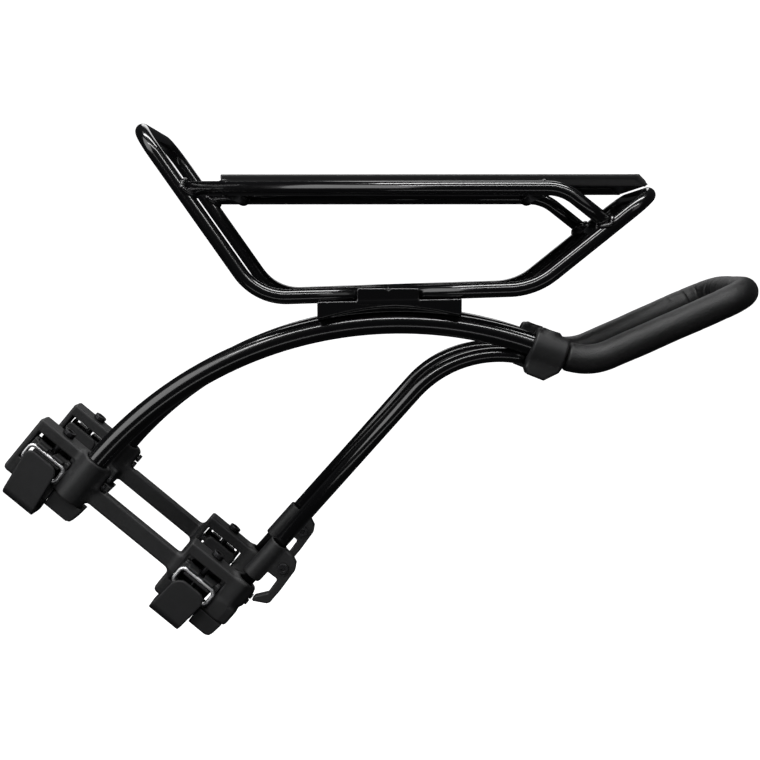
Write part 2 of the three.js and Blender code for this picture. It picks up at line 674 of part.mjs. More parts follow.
// Nut block that fills the window: a rim with raised ends, jaws that hold the bail
// in front of the bracket, and a bore that takes the tension bolt.
function sliderGeometry(clamp) {
  const s = clamp.s;
  const inside = -STRAP_IN - STRAP_T - GAP;
  const front = -BRACKET_OUT - 0.5;
  const face = -BAIL_Y - 1.9;
  const body = bar([
    [inside, SLIDER.low], [inside, SLIDER.high], [-52.4, SLIDER.high], [-52.4, SLIDER.rim],
    [front, SLIDER.rim], [front, SLIDER.low],
  ], s - SLIDER.half, s + SLIDER.half);
  const jaws = bar([
    [front + 1, SLIDER.low + 0.5], [front + 1, SLIDER.rim], [face, SLIDER.rim],
    [face, BAIL_TOP_N + WIRE_R + GAP], [front - 0.3, BAIL_TOP_N + WIRE_R + GAP],
    [front - 0.3, BAIL_TOP_N - WIRE_R - GAP], [face + 0.9, BAIL_TOP_N - WIRE_R - GAP],
    [face + 0.9, 26], [front, 26], [front, SLIDER.low + 0.5],
  ], s - SLIDER.jaw, s + SLIDER.jaw);
  const lugs = [-1, 1].map((end) => {
    const [from, to] = [12.6, SLIDER.half].map((d) => s + end * d).sort((p, q) => p - q);
    return box(from, to, front + 0.7, -49, SLIDER.high - 0.5, SLIDER.lug);
  });
  const at = (n) => v3(s, -BRACKET_Y, n);
  const bore = cylinder(M5.bore, at(20), at(40), 8);
  const notch = box(s - 2.5, s + 2.5, face - 3, -51, SLIDER.high - 0.2, SLIDER.lug + 2);
  return geometryOf(cut(joined([body, jaws, ...lugs]), [bore, notch]));
}

function tensionBolt(clamp) {
  const at = (n) => v3(clamp.s, -BRACKET_Y, n);
  const top = RIDGE_N + GAP;
  const bolt = joined([
    cylinder(M5.shank, at(16.5), at(top + 1), 8),
    cylinder(M5.head, at(top), at(top + M5.headHigh), 12),
  ]);
  return geometryOf(cut(bolt, [cylinder(2, at(top + 1.2), at(top + 6), 6)]));
}

function buildClampParts() {
  for (const clamp of CLAMPS) {
    const named = (piece) => `${piece}_${clamp.name}`;
    placePair(named("stay_pad"), padGeometry(clamp), RUBBER, brackets);
    placePair(named("strap"), strapGeometry(clamp), RUBBER, brackets);
    placePair(named("bail"), bailGeometry(clamp), STEEL, brackets);
    placePair(named("slider"), sliderGeometry(clamp), NYLON, brackets);
    placePair(named("tension_bolt"), tensionBolt(clamp), BLACK_BOLT, brackets);
    clamp.pinch.forEach((level, i) => {
      placePair(`${named("pinch_screw")}_${i + 1}`, pinchScrew(clamp, level), BLACK_BOLT, brackets);
    });
  }
}

// ---- bag hooks ----------------------------------------------------------
function buildHooks() {
  const lower = CLAMPS[1];
  for (const hook of HOOKS) {
    const side = hook.side < 0 ? "left" : "right";
    const put = (name, geometry, material) =>
      place(`${name}_${side}`, hook.side < 0 ? geometry : mirrored(geometry), material, brackets);
    const axis = (n) => v3(lower.socket + 0.028 * (n - RIDGE_N), -STAY_Y, n);
    const low = hook.low;
    const top = low + HOOK_SLEEVE;
    const s = axis(low + HOOK_SLEEVE / 2).x;
    const sleeve = cylinder(STAY_R + 1.7, axis(low), axis(top), 16);
    const hookPlate = slab(rounded([
      [s + 3, low + 31], [s + 13, low + 30.6, 1], [s + 21, low + 26.5, 5], [s + 22.6, low + 5.6, 0],
      [s + 22.4, low - 7, 1.5], [s + 11, low - 13.5, 1.5], [s + 11, low - 9, 1],
      [s + 17, low - 1.5, 0], [s + 16.2, low + 10.5, 2], [s + 6.8, low + 10.2, 1], [s + 6.4, low + 2],
      [s + 3, low + 0.3],
    ]), -STAY_Y - 4.5, -STAY_Y + 4.5, 0.8);
    const screwAt = (y) => v3(s + 14, y, low + 19.4);
    const bore = cylinder(STAY_R + GAP + 0.1, axis(low - 5), axis(top + 5), 12);
    const hole = cylinder(M4.bore, screwAt(-STAY_Y - 10), screwAt(-STAY_Y + 10), 8);
    put("bag_hook", geometryOf(cut(joined([sleeve, hookPlate]), [bore, hole])), NYLON);
    const face = -STAY_Y - 4.5 - GAP;
    const back = -STAY_Y + 4.5 + GAP;
    const screw = joined([
      cylinder(M4.shank, screwAt(back + 4), screwAt(face - 0.6), 8),
      cylinder(3.9, screwAt(face), screwAt(face - 2.2), 12),
    ]);
    const key = cylinder(1.5, screwAt(face - 0.8), screwAt(face - 4), 6);
    put("hook_screw", geometryOf(cut(screw, [key])), BLACK_BOLT);
    const nut = cylinder(3.9, screwAt(back), screwAt(back + 3.2), 6);
    const thread = cylinder(M4.shank + GAP, screwAt(back - 1), screwAt(back + 5), 8);
    put("hook_nut", geometryOf(cut(solid(nut), [thread])), BLACK_BOLT);
  }
}

buildFrame();
buildPlatform();
buildTopPlate();
buildPlateScrews();
buildSaddles();
buildJunctionBlocks();
buildBrackets();
buildClampParts();
buildHooks();

export default rack;
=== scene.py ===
"""Looks for a strap-on rear bicycle rack: coated tubes, moulded clamps, rubber straps and a foam tail loop.

Every shape is drawn in millimetres in the row frame (+X to the rear, +Y right, +Z up), or in the stay frame
(s down the seat stay, n away from it), and is turned into metres as its mesh is made.
"""
import json
import math

import bpy
import numpy as np
import openvdb
from mathutils import Matrix, Vector, noise


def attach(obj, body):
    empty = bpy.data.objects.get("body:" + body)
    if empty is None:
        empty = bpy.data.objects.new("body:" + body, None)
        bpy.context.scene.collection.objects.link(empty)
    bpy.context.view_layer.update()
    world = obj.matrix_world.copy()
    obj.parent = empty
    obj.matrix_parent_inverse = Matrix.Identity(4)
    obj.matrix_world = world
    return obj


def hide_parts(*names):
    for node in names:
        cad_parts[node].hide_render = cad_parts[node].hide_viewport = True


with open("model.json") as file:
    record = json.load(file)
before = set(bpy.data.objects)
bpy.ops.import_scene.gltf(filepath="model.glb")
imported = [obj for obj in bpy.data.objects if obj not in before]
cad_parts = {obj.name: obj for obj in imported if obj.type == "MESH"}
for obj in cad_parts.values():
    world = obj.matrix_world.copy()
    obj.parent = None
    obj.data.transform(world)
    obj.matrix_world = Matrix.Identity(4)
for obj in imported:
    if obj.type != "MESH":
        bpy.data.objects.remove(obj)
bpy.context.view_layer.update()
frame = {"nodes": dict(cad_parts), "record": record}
MM = 0.001

# ---- sizes shared with the CAD, in millimetres -----------------------------
STAY_SLOPE = math.radians(40)
COS, SIN = math.cos(STAY_SLOPE), math.sin(STAY_SLOPE)
ARCH_R, STAY_R, HOOP_R, RAIL_R, FOAM_R = 8.0, 5.25, 5.25, 5.0, 10.3
ARCH_Y, STAY_Y, PLATFORM_Y = 51.0, 45.5, 58.0
ARCH = [(-41.2, 56.7), (100.5, 225.6), (298.5, 158.5)]
ARCH_BEND = 283.3
LOOP = [(308.4, 155.15), (324.7, 149.62), (437.3, 200.0)]
LOOP_BEND, LOOP_TURN = 42.0, 24.0
LOWER = [(62.8, -29.2), (231.0, 160.2), (288.0, 152.8)]
LOWER_BEND = 80.0
HOOP_TOP = (12.6, 311.8)
HOOP_FOOT = (93.8, 195.7)
HOOP_JOINT = 184.4
RAIL_RISE = 0.0327
REAR_FOOT_X = 285.3
REAR_TOP = (366.2, 267.4)
TOP_RAIL = [(40.5, 270.8), (304.5, 270.8), (338.0, 244.6)]
FRONT_BAR = (71.0, 270.8)
REAR_BAR = (291.6, 270.8)
TAIL_BAR = (333.5, 244.0)
PLATE_FRONT, PLATE_REAR, PLATE_TOP = 68.0, 357.7, 280.8
PLATE_HALF, PLATE_FLANGE, PLATE_SHEET = 50.0, 8.4, 3.0
BRACKET_OUT, BRACKET_IN, BRACKET_Y = 54.4, 37.4, 45.9
RIDGE_N, FRAME_LOW_N = 47.0, 1.6
CLAMPS = {
    "upper": dict(s=-96.0, socket=-68.0, y=ARCH_Y, tube=ARCH_R, wall=3.0, tilt=0.0, boss=2.6, pinch=(42.2, 35.2), screw=(3.1, 2.6, 2.0, 5.0, 1.5), pad=(-78.0, -55.0), strap=-11.0, lean=3.9, tongue=(27.2, 6.0)),
    "lower": dict(s=40.8, socket=67.7, y=STAY_Y, tube=STAY_R, wall=3.2, tilt=-0.028, boss=0.6, pinch=(41.0, 35.8), screw=(2.3, 1.6, 1.5, 3.2, 1.1), pad=(54.1, 72.7), strap=-8.5, lean=-2.2, tongue=(23.6, 8.0)),
}
HOOK_LOW = {"left": 53.0, "right": 64.0}
SIDES = {"left": 1.0, "right": -1.0}      # the left side is drawn, the right one is its mirror image


# ---- materials ---------------------------------------------------------------
def material(name, colour, rough, metal=0.0, coat=0.0, grain=600.0, bump=0.1, spread=0.08, painted_edge_highlight=0.0, fine=None, sheen=0.0):
    """A procedural finish: mottled colour and roughness, a grain bump in two scales, and paler edges, a painted
    highlight where the edges catch the light.
    """
    m = bpy.data.materials.new(name)
    m.use_nodes = True
    tree = m.node_tree
    shader = tree.nodes["Principled BSDF"]
    link = tree.links.new

    def node(kind, **values):
        n = tree.nodes.new(kind)
        for key, value in values.items():
            if key in n.inputs:
                n.inputs[key].default_value = value
            else:
                setattr(n, key, value)
        return n

    place = node("ShaderNodeTexCoord")
    broad = node("ShaderNodeTexNoise", Scale=45.0, Detail=4.0, Roughness=0.6)
    small = node("ShaderNodeTexNoise", Scale=grain, Detail=5.0, Roughness=0.65)
    link(place.outputs["Object"], broad.inputs["Vector"])
    link(place.outputs["Object"], small.inputs["Vector"])
    dark = [c * (1 - 2.5 * spread) for c in colour]
    light = [c * (1 + 2.5 * spread) for c in colour]
    tint = node("ShaderNodeValToRGB")
    tint.color_ramp.elements[0].position = 0.35
    tint.color_ramp.elements[0].color = (*dark, 1)
    tint.color_ramp.elements[1].position = 0.65
    tint.color_ramp.elements[1].color = (*light, 1)
    link(broad.outputs["Fac"], tint.inputs["Fac"])
    base = tint.outputs["Color"]
    # Paler colour on sharp edges, masked by pointiness: a painted highlight along the edges.
    if painted_edge_highlight > 0:
        edge = node("ShaderNodeNewGeometry")
        ramp = node("ShaderNodeValToRGB")
        ramp.color_ramp.elements[0].position = 0.52
        ramp.color_ramp.elements[0].color = (0, 0, 0, 1)
        ramp.color_ramp.elements[1].position = 0.62
        ramp.color_ramp.elements[1].color = (painted_edge_highlight, painted_edge_highlight, painted_edge_highlight, 1)
        link(edge.outputs["Pointiness"], ramp.inputs["Fac"])
        mix = node("ShaderNodeMix", data_type="RGBA")
        link(ramp.outputs["Color"], mix.inputs[0])
        link(base, mix.inputs[6])
        mix.inputs[7].default_value = (*[min(1, c * 3.5 + 0.02) for c in colour], 1)
        base = mix.outputs[2]
    link(base, shader.inputs["Base Color"])
    rough_map = node("ShaderNodeMapRange")
    rough_map.inputs["To Min"].default_value = max(0.02, rough - spread)
    rough_map.inputs["To Max"].default_value = min(1.0, rough + spread)
    link(small.outputs["Fac"], rough_map.inputs["Value"])
    link(rough_map.outputs["Result"], shader.inputs["Roughness"])
    shader.inputs["Metallic"].default_value = metal
    shader.inputs["Coat Weight"].default_value = coat
    shader.inputs["Coat Roughness"].default_value = 0.06
    shader.inputs["Sheen Weight"].default_value = sheen
    relief = node("ShaderNodeBump", Strength=bump, Distance=0.0004)
    link(small.outputs["Fac"], relief.inputs["Height"])
    normal = relief.outputs["Normal"]
    if fine:
        cells = node("ShaderNodeTexVoronoi", Scale=fine)
        link(place.outputs["Object"], cells.inputs["Vector"])
        pits = node("ShaderNodeBump", Strength=bump, Distance=0.0003)
        link(cells.outputs["Distance"], pits.inputs["Height"])
        link(normal, pits.inputs["Normal"])
        normal = pits.outputs["Normal"]
    link(normal, shader.inputs["Normal"])
    return m


# The edge value given to nylon, rubber and black oxide sets how pale their painted edge highlight is.
FINISH = {
    "tube_coat": material("gloss_powder_coat", (0.003, 0.003, 0.0034), 0.19, coat=0.8, grain=260, bump=0.012, spread=0.02),
    "plate_coat": material("satin_powder_coat", (0.010, 0.010, 0.0105), 0.36, coat=0.15, grain=1500, bump=0.12, spread=0.05),
    "nylon": material("moulded_nylon", (0.013, 0.0132, 0.0138), 0.5, grain=2600, bump=0.3, spread=0.08, painted_edge_highlight=0.3),
    "rubber": material("strap_rubber", (0.009, 0.0092, 0.010), 0.6, grain=1800, bump=0.25, spread=0.07, painted_edge_highlight=0.12),
    "foam": material("grip_foam", (0.0042, 0.0042, 0.0045), 0.4, grain=1000, bump=0.55, spread=0.06, fine=1700, sheen=0.03),
    "steel": material("bright_steel", (0.8, 0.8, 0.81), 0.36, metal=1.0, grain=2200, bump=0.08, spread=0.06),
    "black_bolt": material("black_oxide_steel", (0.035, 0.035, 0.037), 0.34, metal=0.9, grain=1500, bump=0.15, spread=0.08, painted_edge_highlight=0.3),
}
SLOT_OF = {part["node"]: part["material_slot"] for part in frame["record"]["subparts"]}
BODY_OF = {node: body for body, members in frame["record"]["behaviour"]["bodies"].items() for node in members}


# ---- meshes --------------------------------------------------------------------
def add_piece(name, verts, faces, node=None, body=None, slot=None, smooth=True, side=1.0):
    """Makes a mesh object from millimetre points, and hides the CAD node it stands in for."""
    points = np.asarray(verts, float) * MM
    if side < 0:
        points = points * (1, -1, 1)
        faces = [tuple(reversed(f)) for f in faces]
    mesh = bpy.data.meshes.new(name)
    mesh.from_pydata(points.tolist(), [], [tuple(int(i) for i in f) for f in faces])
    mesh.validate()
    mesh.polygons.foreach_set("use_smooth", [smooth] * len(mesh.polygons))
    obj = bpy.data.objects.new(name, mesh)
    bpy.context.scene.collection.objects.link(obj)
    slot = slot or SLOT_OF[node]
    mesh.materials.append(FINISH[slot])
    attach(obj, body or BODY_OF[node])
    if node:
        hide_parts(node)
    return obj


def bent_route(corners, radii, step=3.0):
    """Straight runs joined by bends of stated radius, as (point, direction) stations."""
    corners = [Vector(c) for c in corners]
    headings = [(b - a).normalized() for a, b in zip(corners, corners[1:])]
    stations = [(corners[0], headings[0])]
    for i, radius in enumerate(radii, 1):
        into, out = headings[i - 1], headings[i]
        bend = into.angle(out)
        side = (out - into * math.cos(bend)) / math.sin(bend)
        start = corners[i] - into * radius * math.tan(bend / 2)
        pieces = max(2, math.ceil(math.degrees(bend) / step))
        for k in range(pieces + 1):
            a = bend * k / pieces
            at = start + into * radius * math.sin(a) + side * radius * (1 - math.cos(a))
            if (at - stations[-1][0]).length > 0.05:
                stations.append((at, into * math.cos(a) + side * math.sin(a)))
    stations.append((corners[-1], headings[-1]))
    return stations


def in_plane(points, y):
    return [(x, y, z) for x, z in points]


def densify(stations, spacing):
    """Adds stations along the straight runs, so that a surface can vary along them."""
    dense = [stations[0]]
    for (a, ta), (b, tb) in zip(stations, stations[1:]):
        count = max(1, round((b - a).length / spacing))
        for k in range(1, count):
            dense.append((a.lerp(b, k / count), ta.lerp(tb, k / count).normalized()))
        dense.append((b, tb))
    return dense


def sweep(stations, radius, sides=32, closed=False):
    """A round tube along stations; radius is a number or a function of (distance along, centre, outward spoke)."""
    side = stations[0][1].orthogonal().normalized()
    verts, faces, along = [], [], 0.0
    for i, (at, heading) in enumerate(stations):
        if i:
            along += (at - stations[i - 1][0]).length
        side = (side - heading * side.dot(heading)).normalized()
        up = heading.cross(side)
        for k in range(sides):
            a = 2 * math.pi * k / sides
            spoke = side * math.cos(a) + up * math.sin(a)
            verts.append(at + spoke * (radius(along, at, spoke) if callable(radius) else radius))
    rings = len(stations)
    for i in range(rings if closed else rings - 1):
        j = (i + 1) % rings
        for k in range(sides):
            m = (k + 1) % sides
            faces.append((i * sides + k, i * sides + m, j * sides + m, j * sides + k))
    if not closed:
        faces.append(tuple(range(sides - 1, -1, -1)))
        faces.append(tuple((rings - 1) * sides + k for k in range(sides)))
    return verts, faces


def from_stay(points):
    """Stay-frame (s, y, n) points in the row frame."""
    p = np.asarray(points, float)
    return np.stack([p[:, 0] * COS + p[:, 2] * SIN, p[:, 1], -p[:, 0] * SIN + p[:, 2] * COS], 1)


# ---- moulded shapes, as distance fields -----------------------------------------
class Block:
    """A grid of points round a moulding. Its methods give signed distances to simple solids, rounded at their edges."""

    def __init__(self, low, high, voxel):
        self.low, self.voxel = np.array(low, float), voxel
        axes = [np.arange(a, b + voxel, voxel) for a, b in zip(low, high)]
        self.p = [axes[0][:, None, None], axes[1][None, :, None], axes[2][None, None, :]]
        self.shape = [len(axis) for axis in axes]

    def box(self, low, high, r=0.0):
        q = [abs(p - (a + b) / 2) - ((b - a) / 2 - r) for p, a, b in zip(self.p, low, high)]
        outside = np.sqrt(sum(np.maximum(v, 0) ** 2 for v in q))
        return outside + np.minimum(np.maximum(np.maximum(q[0], q[1]), q[2]), 0) - r

    def rod(self, a, b, radius, r=0.0, radius_b=None):
        a, b = np.array(a, float), np.array(b, float)
        length = np.linalg.norm(b - a)
        u = (b - a) / length
        d = [p - v for p, v in zip(self.p, a)]
        t = d[0] * u[0] + d[1] * u[1] + d[2] * u[2]
        away = np.sqrt(sum((v - t * w) ** 2 for v, w in zip(d, u)))
        grown = radius if radius_b is None else radius + (radius_b - radius) * np.clip(t / length, 0, 1)
        q0, q1 = away - (grown - r), abs(t - length / 2) - (length / 2 - r)
        return np.sqrt(np.maximum(q0, 0) ** 2 + np.maximum(q1, 0) ** 2) + np.minimum(np.maximum(q0, q1), 0) - r

    def prism(self, outline, low_y, high_y, r=0.0):
        """An outline in the first and third coordinates, between two Y values."""
        x, z = self.p[0][:, :, 0], self.p[2][0]
        distance = np.full((x.shape[0], z.shape[1]), 1e9)
        inside = np.zeros(distance.shape, bool)
        for (ax, az), (bx, bz) in zip(outline, outline[1:] + outline[:1]):
            ex, ez = bx - ax, bz - az
            t = np.clip(((x - ax) * ex + (z - az) * ez) / (ex * ex + ez * ez), 0, 1)
            distance = np.minimum(distance, (x - ax - t * ex) ** 2 + (z - az - t * ez) ** 2)
            crosses = (az > z) != (bz > z)
            inside ^= crosses & (x < ax + (z - az) / (ez if ez else 1e-9) * ex)
        flat = np.where(inside, -np.sqrt(distance), np.sqrt(distance))[:, None, :] + r
        depth = abs(self.p[1] - (low_y + high_y) / 2) - ((high_y - low_y) / 2 - r)
        return np.sqrt(np.maximum(flat, 0) ** 2 + np.maximum(depth, 0) ** 2) + np.minimum(np.maximum(flat, depth), 0) - r

    def slab(self, along, across, up, r):
        """A box whose corners are rounded only in the first and third coordinates."""
        q = [abs(self.p[i] - (a + b) / 2) - ((b - a) / 2 - r) for i, (a, b) in ((0, along), (2, up))]
        flat = np.sqrt(np.maximum(q[0], 0) ** 2 + np.maximum(q[1], 0) ** 2) + np.minimum(np.maximum(q[0], q[1]), 0) - r
        return np.maximum(flat, abs(self.p[1] - sum(across) / 2) - (across[1] - across[0]) / 2)

    def surface(self, field):
        grid = openvdb.FloatGrid(5.0)
        grid.copyFromArray(np.ascontiguousarray(np.broadcast_to(field, self.shape), np.float32))
        points, quads = grid.convertToQuads(0.0)
        points = points * self.voxel + self.low
        a, b, c = (points[quads[:, i]] for i in (0, 1, 2))
        turned = np.einsum("ij,ij->i", points[quads].mean(1), np.cross(b - a, c - a)).sum() < 0
        return points, quads[:, ::-1] if turned else quads


def union(*fields, blend=0.0):
    whole = fields[0]
    for other in fields[1:]:
        if blend:
            h = np.clip(0.5 + 0.5 * (other - whole) / blend, 0, 1)
            whole = other + (whole - other) * h - blend * h * (1 - h)
        else:
            whole = np.minimum(whole, other)
    return whole


def carve(field, *tools, blend=0.0):
    for tool in tools:
        field = -union(-field, tool, blend=blend)
    return field


# ---- tubes -----------------------------------------------------------------------
def rail_z(x):
    return HOOP_FOOT[1] + RAIL_RISE * (x - HOOP_FOOT[0])


def make_tubes():
    for side_name, side in SIDES.items():
        y = -ARCH_Y
        route = bent_route(in_plane(ARCH, y), [ARCH_BEND], 1.5)
        add_piece(f"arch_{side_name}", *sweep(route, ARCH_R, 48), node=f"arch_tube_{side_name}", side=side)
        route = bent_route(in_plane(LOWER, -STAY_Y), [LOWER_BEND], 3)
        add_piece(f"stay_{side_name}", *sweep(route, STAY_R, 40), node=f"lower_stay_{side_name}", side=side)
        route = bent_route(in_plane(TOP_RAIL, -PLATFORM_Y), [32], 4)
        add_piece(f"upper_rail_{side_name}", *sweep(route, RAIL_R, 40), node=f"top_rail_{side_name}", side=side)
    out = [(HOOP_JOINT - 0.3, rail_z(HOOP_JOINT)), HOOP_FOOT, HOOP_TOP]
    route = bent_route(in_plane(out, -PLATFORM_Y) + in_plane(out[::-1], PLATFORM_Y), [39, 21, 21, 39], 4)
    add_piece("hoop_front", *sweep(route, HOOP_R, 40), node="front_hoop")
    out = [(HOOP_JOINT + 0.3, rail_z(HOOP_JOINT)), (REAR_FOOT_X, rail_z(REAR_FOOT_X)), REAR_TOP]
    route = bent_route(in_plane(out, -PLATFORM_Y) + in_plane(out[::-1], PLATFORM_Y), [50, 21, 21, 50], 4)
    add_piece("hoop_rear", *sweep(route, HOOP_R, 40), node="rear_hoop")
    for name, (x, z) in {"front_cross_bar": FRONT_BAR, "rear_cross_bar": REAR_BAR, "tail_cross_bar": TAIL_BAR}.items():
        ends = [(Vector((x, y, z)), Vector((0, 1, 0))) for y in (-PLATFORM_Y, PLATFORM_Y)]
        add_piece(f"{name}_tube", *sweep(ends, RAIL_R, 40), node=name)


def make_foam():
    """A slightly uneven foam sleeve, puckered on the inside of its tight corners and rounded off at its two ends."""
    out = in_plane(LOOP, -ARCH_Y)
    home = in_plane(LOOP[::-1], ARCH_Y)
    route = densify(bent_route(out + home, [LOOP_BEND, LOOP_TURN, LOOP_TURN, LOOP_BEND], 1.5), 1.5)
    total = sum((b[0] - a[0]).length for a, b in zip(route, route[1:]))
    leg = Vector((LOOP[2][0] - LOOP[1][0], 0, LOOP[2][1] - LOOP[1][1])).normalized()
    end = Vector((LOOP[2][0], 0, LOOP[2][1])) - leg * LOOP_TURN
    pivots = [end + Vector((0, s * (ARCH_Y - LOOP_TURN), 0)) for s in (-1, 1)]

    def radius(along, at, spoke):
        lump = noise.noise(Vector((along * 0.045, spoke.y * 0.9, spoke.z * 0.9))) * 0.3
        pivot = min(pivots, key=lambda p: (p - at).length)
        inward = pivot - at
        bent = max(0.0, 1 - max(0.0, inward.length - LOOP_TURN - 1.5) / 9)
        turn = math.atan2((at - pivot).dot(leg), abs(at.y) - abs(pivot.y))
        inner = max(0.0, 0.25 + 0.75 * spoke.dot(inward.normalized()))
        wave = turn * 11 + 1.2 * noise.noise(Vector((turn * 3, spoke.z * 1.4, at.y * 0.01)))
        crease = max(0.0, math.cos(wave)) ** 6
        pucker = bent * inner * (0.25 - 1.1 * crease)
        tail = min(along, total - along)
        closing = 2.2 * max(0.0, 1 - tail / 2.2) ** 2
        return FOAM_R + lump + pucker - closing

    foam = add_piece("foam_grip", *sweep(route, radius, 96), node="tail_foam")


def make_plate():
    """A thin pressed tray, upside down: flat top, folded side flanges, a dropped tail lip and two rests."""
    top, low = PLATE_TOP, PLATE_TOP - PLATE_SHEET
    grid = Block((PLATE_FRONT - 2, -PLATE_HALF - 2, PLATE_TOP - PLATE_FLANGE - 2), (PLATE_REAR + 10, PLATE_HALF + 2, PLATE_TOP + 2), 0.5)
    sheet = grid.box((PLATE_FRONT, -PLATE_HALF, low), (PLATE_REAR, PLATE_HALF, top), 0.8)
    lip = grid.prism([(PLATE_REAR - 3, low), (PLATE_REAR - 3, top), (PLATE_REAR, top), (PLATE_REAR + 6.4, top - 7), (PLATE_REAR + 4.4, top - 8.2)], -PLATE_HALF, PLATE_HALF, 0.7)
    parts = [sheet, lip]
    for side in (-1, 1):
        y0, y1 = sorted((side * PLATE_HALF, side * (PLATE_HALF - 2.5)))
        parts.append(grid.prism([(PLATE_FRONT, top - PLATE_FLANGE), (PLATE_FRONT, top), (PLATE_REAR, top), (PLATE_REAR + 4.6, top - 4.4), (PLATE_REAR + 4.6, top - PLATE_FLANGE)], y0, y1, 0.8))
    for x in (FRONT_BAR[0] + 4, REAR_BAR[0]):
        parts.append(grid.box((x - 6, -34, FRONT_BAR[1] + 3), (x + 6, 34, top - 1), 0.6))
    plate = union(*parts, blend=0.8)
    tools = [grid.rod((x, -80, FRONT_BAR[1]), (x, 80, FRONT_BAR[1]), RAIL_R + 0.3) for x in (FRONT_BAR[0], REAR_BAR[0])]
    for x in (FRONT_BAR[0], REAR_BAR[0]):
        for y in (-25, 25):
            tools.append(grid.rod((x, y, top - 1.9), (x, y, top + 3), 5.0))
    add_piece("load_plate", *grid.surface(carve(plate, *tools, blend=0.3)), node="top_plate")


def make_brackets():
    """The moulded seat-stay bracket: two open clamp frames, two tube sockets and the arm between them."""
    grid = Block((-119, -66, -3), (82, -34, 50), 0.55)
    arm = grid.box((-62, -BRACKET_OUT, 20.2), (25, -BRACKET_OUT + 9, 33.7), 1.6)
    frames, tools, soft = [], [], []
    for key, c in CLAMPS.items():
        left, reach = c["s"] - 20.8, c["tube"] + c["wall"]
        rim = lambda n: (c["socket"] + c["tilt"] * (RIDGE_N - n), -c["y"], n)
        outline = [(left, RIDGE_N - 1.2), (left + 1.2, RIDGE_N), (c["socket"] + 2, RIDGE_N), (c["socket"] + 2, FRAME_LOW_N), (left + 3, FRAME_LOW_N), (left + 0.9, FRAME_LOW_N + 0.9), (left, FRAME_LOW_N + 3)]
        frames.append(grid.prism(outline, -BRACKET_OUT, -BRACKET_IN, 2.0))
        soft.append(grid.rod(rim(13.8), rim(RIDGE_N + 0.6), reach, 1.0))
        soft.append(grid.box((c["socket"] - reach, -BRACKET_OUT, 13.8), (c["socket"] + reach - 0.3, -BRACKET_IN, 27), 2.0))
        edge = c["socket"] + reach
        soft.append(grid.box((edge - 6, -c["y"] - 4.6, c["pinch"][1] - 4.2), (edge + c["boss"], -c["y"] + 4.6, c["pinch"][0] + 4.2), 2.0))
        tools.append(grid.prism([(c["s"] - 16.5, 15.2), (c["s"] - 16.5, 38.5), (c["s"] + 16.5, 38.5), (c["s"] + 16.5, 15.2)], -BRACKET_OUT - 4, -BRACKET_IN + 4, 1.4))
        tools.append(grid.rod(rim(16), rim(RIDGE_N + 4), c["tube"] + 0.3))
        tools.append(grid.box((c["pad"][0] - 0.3, -70, -6), (c["pad"][1] + 8, -30, 13.8), 0.4))
        tools.append(grid.rod((c["s"], -BRACKET_Y, 30), (c["s"], -BRACKET_Y, 52), 2.9))
        for level in c["pinch"]:
            tools.append(grid.rod((edge + c["boss"] - 0.1, -c["y"], level), (edge + 8, -c["y"], level), c["screw"][0] + 0.4))
    tools.append(grid.rod((-140, -BRACKET_Y, -6), (100, -BRACKET_Y, -6), 10))
    body = union(arm, *frames, *soft, blend=4.5)
    body = np.maximum(body, union(arm, *frames, *soft) - 1.4)
    body = carve(body, *tools, blend=0.7)
    points, faces = grid.surface(body)
    for side_name, side in SIDES.items():
        add_piece(f"clamp_bracket_{side_name}", from_stay(points), faces, node=f"stay_bracket_{side_name}", side=side)


def make_pads():
    for key, c in CLAMPS.items():
        a, b = c["pad"]
        grid = Block((a - 3, -58, -3), (b + 5, -34, 16), 0.45)
        outline = [(a, 0.2), (b - 3.5, 0.2), (b - 0.6, 1.6), (b + 0.6, 4.5), (b + 1.6, 13.5), (a, 13.5)]
        pad = grid.prism(outline, -BRACKET_OUT - 0.6, -BRACKET_IN + 0.6, 1.2)
        pad = carve(pad, grid.rod((a - 9, -BRACKET_Y, -6), (b + 9, -BRACKET_Y, -6), 10), blend=0.6)
        points, faces = grid.surface(pad)
        for side_name, side in SIDES.items():
            add_piece(f"grip_pad_{key}_{side_name}", from_stay(points), faces, node=f"stay_pad_{key}_{side_name}", side=side)


def make_straps():
    """Rubber straps: a broad U that leans along the stay, with a rounded tongue that laps over its steel bail."""
    for key, c in CLAMPS.items():
        s, (top, r) = c["s"], c["tongue"]
        grid = Block((s - 20, -65, -14), (s + 20, -31, 38), 0.45)
        lean = c["lean"] * (18 - grid.p[2]) / 28
        grid.p[0] = grid.p[0] - lean
        grid.p[1] = grid.p[1] + 0 * lean
        round_u = lambda y0, y1, n0, r: grid_u(grid, y0, y1, n0, 60, r)
        shell = np.maximum(round_u(-62.6, -33.8, c["strap"], 6.5), -round_u(-59.6, -36.8, c["strap"] + 3, 3.6))
        sides = grid.slab((s - 13.25, s + 13.25), (-80, -50), (-60, top), r)
        back = grid.slab((s - 13.25, s + 13.25), (-50.5, -20), (-60, 35), 3.5)
        strap = -union(-shell, -union(sides, back), blend=1.1)
        hold = grid.box((s - 9, -60.4, 18.9), (s + 9, -55.6, 22.3), 0.8)
        strap = union(strap, hold, blend=0.8)
        points, faces = grid.surface(strap)
        for side_name, side in SIDES.items():
            add_piece(f"rubber_strap_{key}_{side_name}", from_stay(points), faces, node=f"strap_{key}_{side_name}", side=side)


def grid_u(grid, y0, y1, n0, n1, r):
    """A rounded rectangle in Y and n, endless along the stay."""
    q = [abs(grid.p[1] - (y0 + y1) / 2) - ((y1 - y0) / 2 - r), abs(grid.p[2] - (n0 + n1) / 2) - ((n1 - n0) / 2 - r)]
    field = np.sqrt(np.maximum(q[0], 0) ** 2 + np.maximum(q[1], 0) ** 2) + np.minimum(np.maximum(q[0], q[1]), 0) - r
    return field + 0 * grid.p[0]


